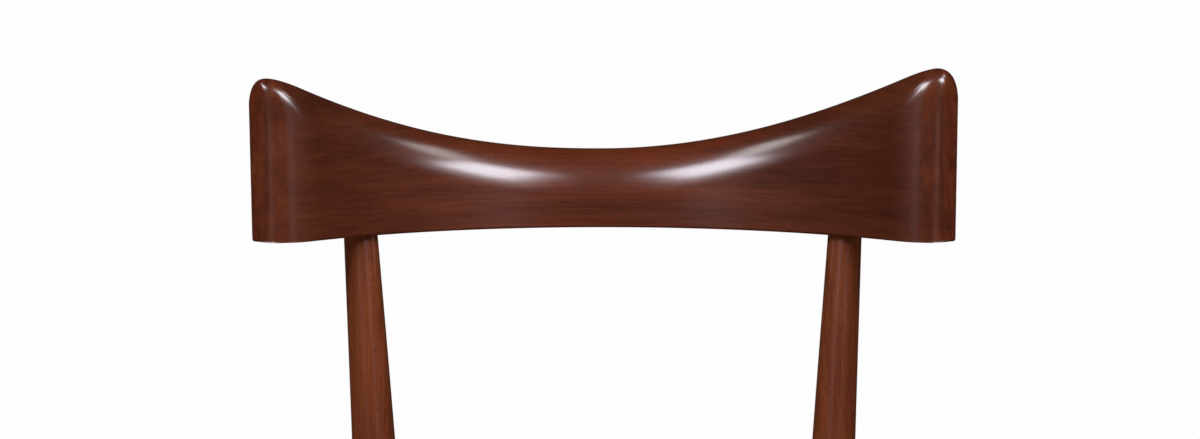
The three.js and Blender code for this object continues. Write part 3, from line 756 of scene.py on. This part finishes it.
rail_front_low, rail_front_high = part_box("seat_rail_front")
FRONT_LINE_Y = (rail_front_low.y + rail_front_high.y) / 2
print("front legs in line with their rail at y", round(FRONT_LINE_Y, 4))


def soft_taper(share):
    """0 to 1 along a taper that starts round instead of with a kink."""
    full = math.hypot(1, TAPER_ROUNDING) - TAPER_ROUNDING
    return (math.hypot(share, TAPER_ROUNDING) - TAPER_ROUNDING) / full


def radius_between(thick, thin, share):
    """The radius where that share of the taper from one diameter to the other is done."""
    return (thick - (thick - thin) * soft_taper(share)) / 2


def back_leg_radius(height):
    if height > KNEE_HEIGHT:
        share = (height - KNEE_HEIGHT) / (RAIL_UNDERSIDE - KNEE_HEIGHT)
        return radius_between(KNEE_DIAMETER, POST_TOP_DIAMETER, share)
    return radius_between(KNEE_DIAMETER, FOOT_DIAMETER, (KNEE_HEIGHT - height) / KNEE_HEIGHT)


def front_leg_radius(height):
    share = max(0.0, FRONT_KNEE_HEIGHT - height) / FRONT_KNEE_HEIGHT
    return radius_between(FRONT_TOP_DIAMETER, FOOT_DIAMETER, share)


# %% [markdown]
# A circle is extruded along the curve in small steps, square to it and as thick as
# the taper is there. The curve runs on a little past both ends, because the foot
# and the top of the real leg are sawn level, and so they are cut here. Each leg
# has wood of its own, its pattern shifted and its stain made lighter. On the back
# legs that lightening is painted light, more on the sitter's left leg than on the
# right one.

# %% Legs
LEG_SIDES = 48
LEG_STEPS = 90
LEG_OVERRUN = 0.012
# painted light: the back legs' stain is made lighter, the sitter's left one more than the right;
# the front legs' stain is lightened a little as well
BACK_LEG_PAINTED_LIGHT, PAINTED_LIGHT_DIFFERENCE, FRONT_LEG_LIGHTENING = 0.14, 0.04, 0.08


def leg_points(curve, base, outward):
    """Points along the leg's middle line, run on a little past both ends."""
    flat = [base + outward * reach + Vector((0, 0, height)) for reach, height in curve]
    points = geometry.interpolate_bezier(*flat, LEG_STEPS)
    first = points[0] + (points[0] - points[1]).normalized() * LEG_OVERRUN
    last = points[-1] + (points[-1] - points[-2]).normalized() * LEG_OVERRUN
    return [first, *points, last]


def turned_leg(points, radius_at, top):
    shape = bmesh.new()
    bmesh.ops.create_circle(shape, cap_ends=True, segments=LEG_SIDES, radius=1.0)
    cap = shape.faces[:][0]
    rim = [vert.co.copy() for vert in cap.verts]
    for index, point in enumerate(points):
        if index:
            cap = draw_out(shape, cap)
        before, after = points[max(index - 1, 0)], points[min(index + 1, len(points) - 1)]
        aim = (after - before).to_track_quat("Z", "Y").to_matrix().to_4x4()
        place = Matrix.Translation(point) @ aim @ Matrix.Scale(radius_at(point.z), 4)
        for vert, spoke in zip(cap.verts, rim):
            vert.co = place @ spoke
    cut_away(shape, (0, 0, GLIDE_THICKNESS), (0, 0, -1), close=True)
    cut_away(shape, (0, 0, top), (0, 0, 1), close=True)
    return shape


def add_leg(node, shape, shift, lightening):
    finish = polished_wood(f"polished_wood_{node}", GRAIN_ALONG_Z, shift, lightening)
    weigh_normals(make_piece(f"{node}_turned", shape, finish, "polished_wood", node))


for side, word in ((1, "left"), (-1, "right")):
    outward = Vector((side * math.sin(BACK_LEG_TURN), math.cos(BACK_LEG_TURN), 0))
    base = Vector((side * POST_SPREAD / 2, POST_TOP_Y, 0)) - outward * POST_RAKE
    points = leg_points(BACK_LEG_CURVE, base, outward)
    shape = turned_leg(points, back_leg_radius, RAIL_UNDERSIDE - LEG_TOP_GAP)
    # painted light: the back leg is painted lighter, the sitter's left one more
    lightening = BACK_LEG_PAINTED_LIGHT + PAINTED_LIGHT_DIFFERENCE * side
    add_leg(f"back_leg_{word}", shape, (0.2, 0.4 * side, 0.1), lightening)
    outward = Vector((side * math.sin(FRONT_LEG_TURN), -math.cos(FRONT_LEG_TURN), 0))
    base = Vector((side * FRONT_LEG_SPREAD / 2, FRONT_LINE_Y, 0))
    points = leg_points(FRONT_LEG_CURVE, base, outward)
    shape = turned_leg(points, front_leg_radius, SEAT_RAIL_TOP)
    add_leg(f"front_leg_{word}", shape, (0.6, 0.3 * side, 0.4), FRONT_LEG_LIGHTENING)

# %% [markdown]
# The seat rails and corner blocks already have their right shape, with rebate and
# coped ends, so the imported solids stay. Their triangles are loose, so a Weld
# modifier joins them first, and a Bevel then eases the edges, as a joiner breaks
# every sharp edge with a stroke of the plane.

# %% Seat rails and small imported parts
EDGE_EASING = 0.0012
EASED_ANGLE = math.radians(50)
WELD_DISTANCE = 0.00002
SMALL_PARTS = {
    "dowel": beech, "corner_block": beech, "screw": screw_steel, "glide": glide_nylon}


def ease_edges(node):
    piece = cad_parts[node]
    modify(piece, "weld", "WELD", merge_threshold=WELD_DISTANCE)
    modify(
        piece, "eased edges", "BEVEL", width=EDGE_EASING, segments=3,
        limit_method="ANGLE", angle_limit=EASED_ANGLE, harden_normals=True)


for word, turn in (
    ("front", GRAIN_ALONG_X), ("back", GRAIN_ALONG_X),
    ("left", GRAIN_ALONG_Y), ("right", GRAIN_ALONG_Y),
):
    shift = (0.7, 0.2, len(word) / 10)
    refinish(f"seat_rail_{word}", polished_wood(f"polished_wood_seat_rail_{word}", turn, shift))
    ease_edges(f"seat_rail_{word}")
for part, finish in SMALL_PARTS.items():
    named = [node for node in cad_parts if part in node]
    for node in named:
        refinish(node, finish)
    print(part, len(named), finish.name)
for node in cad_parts:
    if node.endswith("corner_block"):
        ease_edges(node)
refinish("seat_board", board_plywood)

# %% [markdown]
# The seat is a drop-in pad: a plywood board, foam on it, and leather pulled over
# both and turned under the board. Its outline is narrower at the back, with round
# corners in front and corners cut off behind, where the back legs stand. The
# profile says, from the edge inwards, how high the stuffing has risen.

# %% Seat pad measures
PAD_FRONT_CORNER = Vector((0.2017, -0.2287, 0))
PAD_BACK_CORNER = Vector((0.1547, 0.1452, 0))
PAD_FRONT_ROUNDING = 0.0136
PAD_REAR_CUT = 0.025
PAD_REAR_ROUNDING = 0.006
PAD_CENTRE = Vector((0, -0.0418, 0))
PAD_HALF_SIZE = (0.178, 0.187)
PAD_START = 0.4255
BOARD_TOP = 0.4310
PAD_PROFILE = [
    (0.0, 0.4345), (0.0012, 0.4390), (0.0038, 0.4428), (0.0080, 0.4457),
    (0.0140, 0.4476), (0.028, 0.4496), (0.050, 0.4518), (0.080, 0.4538),
    (0.110, 0.4550), (0.140, 0.4557), (0.165, 0.4560)]


def pad_outline(height):
    """The pad's outline as one face, its corners rounded in front and cut behind."""
    shape = bmesh.new()
    front, back = PAD_FRONT_CORNER, PAD_BACK_CORNER
    corners = [
        shape.verts.new(place) for place in
        (front, back, Vector((-back.x, back.y, 0)), Vector((-front.x, front.y, 0)))]
    shape.faces.new(corners)
    fronts, rears = [corners[0], corners[3]], corners[1:3]
    rounding = {"affect": "VERTICES", "profile": 0.5, "material": -1}
    rears = bmesh.ops.bevel(shape, geom=rears, offset=PAD_REAR_CUT, segments=1, **rounding)
    bmesh.ops.bevel(shape, geom=fronts, offset=PAD_FRONT_ROUNDING, segments=6, **rounding)
    bmesh.ops.bevel(
        shape, geom=rears["verts"], offset=PAD_REAR_ROUNDING, segments=3, **rounding)
    bmesh.ops.translate(shape, verts=shape.verts, vec=(0, 0, height))
    return shape


# %% [markdown]
# The stuffed part starts as a plain crowned block, drawn out of the outline. Cloth
# needs even squares to swell evenly, so a Remesh modifier lays them over it before
# anything moves.

# %% Seat pad block
VOXEL = 0.005


def pad_block():
    shape = pad_outline(PAD_START)
    cap = shape.faces[:][0]
    outline = [vert.co - PAD_CENTRE for vert in cap.verts]
    for inset, height in PAD_PROFILE:
        cap = draw_out(shape, cap)
        share_x, share_y = [1 - inset / half for half in PAD_HALF_SIZE]
        for vert, place in zip(cap.verts, outline):
            vert.co = PAD_CENTRE + Vector((place.x * share_x, place.y * share_y, height))
    return shape


def bake(piece):
    """Puts what the modifiers make in the piece's mesh, and drops them."""
    graph = bpy.context.evaluated_depsgraph_get()
    raw = piece.data
    piece.data = bpy.data.meshes.new_from_object(piece.evaluated_get(graph))
    piece.modifiers.clear()
    bpy.data.meshes.remove(raw)


pad = make_piece("seat_pad", pad_block(), seat_leather, "leather", "seat_cover", "seat_foam")
modify(pad, "even squares", "REMESH", mode="VOXEL", voxel_size=VOXEL, use_smooth_shade=True)
bake(pad)
print("pad remeshed:", len(pad.data.vertices), "points")

# %% [markdown]
# Then it is blown up a little as cloth, which gives the skin the swell and the
# small unevenness of a stuffed seat, more naturally than a sculpted crown would.
# Its lower part is held, as the leather is pulled tight over the board's edge, and
# no point may move far.

# %% Swelling the pad
HELD_BELOW = 0.4362
PRESSURE = 4.0
MOST_MOVE = 0.005
SWELL_FRAMES = 20


def swell(piece):
    """Blows the piece up as cloth, its lower part held, and caps every move."""
    held = piece.vertex_groups.new(name="held")
    start = [vert.co.copy() for vert in piece.data.vertices]
    low_points = [index for index, place in enumerate(start) if place.z < HELD_BELOW]
    held.add(low_points, 1.0, "REPLACE")
    cloth = modify(piece, "swell", "CLOTH")
    cloth.settings.use_pressure = True
    cloth.settings.uniform_pressure_force = PRESSURE
    cloth.settings.effector_weights.gravity = 0.0
    cloth.settings.vertex_group_mass = held.name
    for frame_number in range(1, SWELL_FRAMES + 1):
        bpy.context.scene.frame_set(frame_number)
    bake(piece)
    bpy.context.scene.frame_set(1)
    moved = 0.0
    for vert, place in zip(piece.data.vertices, start):
        move = vert.co - place
        moved = max(moved, move.length)
        if move.length > MOST_MOVE:
            vert.co = place + move.normalized() * MOST_MOVE
    print("swell moved a point", round(moved * 1000, 1), "mm at most")


swell(pad)
modify(pad, "finer", "SUBSURF", levels=1, render_levels=1)
bake(pad)
print("pad made finer:", len(pad.data.vertices), "points")

# %% [markdown]
# A pad is flat where it lies on its board, so it is cut level there and closed.

# %% Pad on its board
def seat_on_board(piece):
    """Cuts the pad flat where it lies on the board, and closes it there."""
    shape = bmesh.new()
    shape.from_mesh(piece.data)
    for edge in cut_away(shape, (0, 0, BOARD_TOP), (0, 0, -1), close=True):
        edge.smooth = False
    shape.to_mesh(piece.data)
    shape.free()


seat_on_board(pad)
pad_top = max(vert.co.z for vert in pad.data.vertices)
print("pad", len(pad.data.polygons), "faces, top at", round(pad_top, 4))

# %% [markdown]
# The leather goes on round the edge of the board and a little way under it, where
# it is stapled. That part is hidden in the rebate of the rails, so it can be a
# strip of its own: the outline drawn down, turned in, and given its thickness by a
# Solidify modifier.

# %% Leather around the board
COVER_THICKNESS = 0.0013
TURN_UNDER = 0.017
UNDERSIDE = 0.4201


def turned_under():
    """An open shell: down the board's edge, then under it."""
    shape = pad_outline(BOARD_TOP)
    top = shape.faces[:][0]
    under = draw_out(shape, top)
    bmesh.ops.translate(shape, verts=under.verts, vec=(0, 0, UNDERSIDE - BOARD_TOP))
    bmesh.ops.inset_region(shape, faces=[under], thickness=TURN_UNDER, use_even_offset=True)
    bmesh.ops.delete(shape, geom=[top, under], context="FACES")
    return shape


wrap = make_piece("seat_cover_turned_under", turned_under(), seat_leather, "leather")
modify(
    wrap, "thickness", "SOLIDIFY", thickness=COVER_THICKNESS, offset=-1.0,
    use_even_offset=True)

# %% [markdown]
# Under the seat hangs the dust cover: thin black cambric, stapled along its edges,
# which hides the board's underside. It is a fine grid, cut to its outline, that
# hangs through a little in the middle. Pulled tight as it is, it needs no cloth
# simulation. A Solidify modifier gives it both faces.

# %% Dust cover
LINING_FRONT = Vector((0.1855, -0.2147, 0.4196))
LINING_BACK = Vector((0.1422, 0.1312, 0.4196))
LINING_REAR_CUT = 0.027
LINING_SAG = 0.0016
LINING_THICKNESS = 0.0004
LINING_GRID = {"x_segments": 48, "y_segments": 48, "size": 0.2}


def lining():
    """The flat cut: one slanted side and one cut corner each way, then the ends."""
    shape = bmesh.new()
    middle = (LINING_FRONT + LINING_BACK) / 2
    place = Matrix.Translation((0, middle.y, LINING_FRONT.z))
    bmesh.ops.create_grid(shape, matrix=place, **LINING_GRID)
    along = LINING_BACK - LINING_FRONT
    corner = LINING_BACK.x - LINING_REAR_CUT
    for side in (1, -1):
        cut_away(shape, (side * LINING_FRONT.x, LINING_FRONT.y, 0), (side * along.y, -along.x, 0))
        cut_away(shape, (side * corner, LINING_BACK.y, 0), (side, 1, 0))
    cut_away(shape, LINING_FRONT, (0, -1, 0))
    cut_away(shape, LINING_BACK, (0, 1, 0))
    return shape


shape = lining()
lining_area = sum(face.calc_area() for face in shape.faces)
flat_size = (2 * LINING_FRONT.x, LINING_BACK.y - LINING_FRONT.y)
for vert in shape.verts:
    across = vert.co.x / LINING_FRONT.x
    along = (vert.co.y - LINING_FRONT.y) / flat_size[1] * 2 - 1
    vert.co.z -= LINING_SAG * max(0.0, 1 - across ** 2) * max(0.0, 1 - along ** 2)
dust = make_piece("dust_cover_cloth", shape, cambric, "cambric", "dust_cover")
modify(dust, "thickness", "SOLIDIFY", thickness=LINING_THICKNESS, offset=0.0)
print("lining cut", [round(part, 4) for part in flat_size], "area", round(lining_area, 4))

# %% [markdown]
# The studio has a plain pale floor. A white floor would need strong lights, and a
# dark line would show where it ends, so it glows by itself more and more with
# distance and meets the bright surround without a horizon. The lacquer doesn't
# mirror it, because the rail shows no light from below.

# %% Floor
FLOOR_SIZE = 40.0
NEAR_FLOOR, FAR_FLOOR = 1.2, 3.2
PAPER_GREY, PAPER_PALE = grey(0.42), grey(0.44)
NEAR_GLOW, FAR_GLOW = grey(0.50), grey(0.985)

shape = bmesh.new()
bmesh.ops.create_grid(shape, x_segments=1, y_segments=1, size=FLOOR_SIZE)
floor_mesh = bpy.data.meshes.new("floor")
shape.to_mesh(floor_mesh)
shape.free()
floor = bpy.data.objects.new("floor", floor_mesh)
bpy.context.collection.objects.link(floor)
floor.visible_glossy = False

paper = Finish("floor_paper", Roughness=0.9, Specular_IOR_Level=0.0, Emission_Strength=1.0)
mottle = paper.noise(paper.place, scale=2.0)
reach = paper.node(
    "ShaderNodeVectorMath", {"operation": "LENGTH"}, {0: paper.place}, output="Value")
away = paper.band(reach, NEAR_FLOOR, FAR_FLOOR)
near_paper = paper.ramp(mottle, (0.3, PAPER_GREY), (0.7, PAPER_PALE))
paper.drive(
    Base_Color=paper.blend(away, near_paper, grey(0.0)),
    Emission_Color=paper.blend(away, NEAR_GLOW, FAR_GLOW))
floor_mesh.materials.append(paper.material)
print("floor glows from", NEAR_GLOW[0], "to", FAR_GLOW[0])

# %% [markdown]
# The surround is white to the camera. To the wood it is nearly black, except
# behind the chair, because a white room all round would wash out the polish. So
# only the lamps and the backdrop are mirrored, and two strengths are compared for
# every ray: what it meets there, and full white if it comes from the camera.

# %% Surround
BACKDROP_EDGES = {"From Min": 0.5, "From Max": 0.9}
MIRRORED_STRENGTHS = {"To Min": 0.008, "To Max": 0.35}

world = bpy.data.worlds.new("studio")
bpy.context.scene.world = world
world.use_nodes = True
room = Graph(world.node_tree)
direction = room.node("ShaderNodeTexCoord", output="Generated")
backwards = room.node("ShaderNodeSeparateXYZ", {}, {"Vector": direction}, output="Y")
mirrored = room.node(
    "ShaderNodeMapRange", {}, {"Value": backwards, **BACKDROP_EDGES, **MIRRORED_STRENGTHS})
seen = room.node("ShaderNodeLightPath", output="Is Camera Ray")
background = world.node_tree.nodes["Background"]
room.feed(background.inputs["Strength"], room.maths("MAXIMUM", mirrored, seen))
print("surround mirrored at", MIRRORED_STRENGTHS)

# %% [markdown]
# Four pairs of soft boxes light the chair, left and right of the camera. The key
# and the wide boxes together give the rolled edge of the rail its two long
# highlights, bright inside and soft around. The high ones stand far to the sides
# and touch the horns, and the faint strips draw a thin line down each post. Where
# a row below has two numbers for one thing, they are for the picture's left and
# right.

# %% Soft boxes
LIT_POINT = Vector((0, 0.24, 0.75))
NEAR_LAMP, FAR_LAMP = 2.3, 2.5
WHITE, KEY_TINT = (1, 1, 1), (0.89, 0.90, 1.0)
WIDE_TINT, STRIP_TINT = (0.95, 0.92, 0.98), (0.95, 0.92, 1.0)
SOFT_BOXES = (
    # name, azimuths, elevation, distance, (width, height), powers, tint
    ("key", (41, 46), 49, NEAR_LAMP, (0.86, 0.68), (36, 36), KEY_TINT),
    ("wide", (38, 43), 46, FAR_LAMP, (1.30, 1.10), (13, 13), WIDE_TINT),
    ("high", (77, 85), 55, NEAR_LAMP, (0.70, 0.42), (8, 6), WHITE),
    ("strip", (28, 28), 24, NEAR_LAMP, (0.50, 0.90), (0.5, 0.5), STRIP_TINT))


def soft_box(name, azimuth, elevation, distance, size, power, tint):
    """An area light seen from the rail at that azimuth and elevation, in degrees."""
    light = bpy.data.lights.new(name, "AREA")
    light.shape = "RECTANGLE"
    light.size, light.size_y = size
    light.energy = power
    light.color = tint
    lamp = bpy.data.objects.new(name, light)
    bpy.context.collection.objects.link(lamp)
    turn, rise = math.radians(azimuth), math.radians(elevation)
    away = Vector((
        math.sin(turn) * math.cos(rise), -math.cos(turn) * math.cos(rise), math.sin(rise)))
    lamp.location = LIT_POINT + away * distance
    lamp.rotation_mode = "QUATERNION"
    lamp.rotation_quaternion = away.to_track_quat("Z", "Y")


for index, (word, side) in enumerate((("left", -1), ("right", 1))):
    for kind, azimuths, elevation, distance, size, powers, tint in SOFT_BOXES:
        azimuth = side * azimuths[index]
        soft_box(f"{kind}_{word}", azimuth, elevation, distance, size, powers[index], tint)
bpy.context.scene.view_settings.view_transform = "Standard"
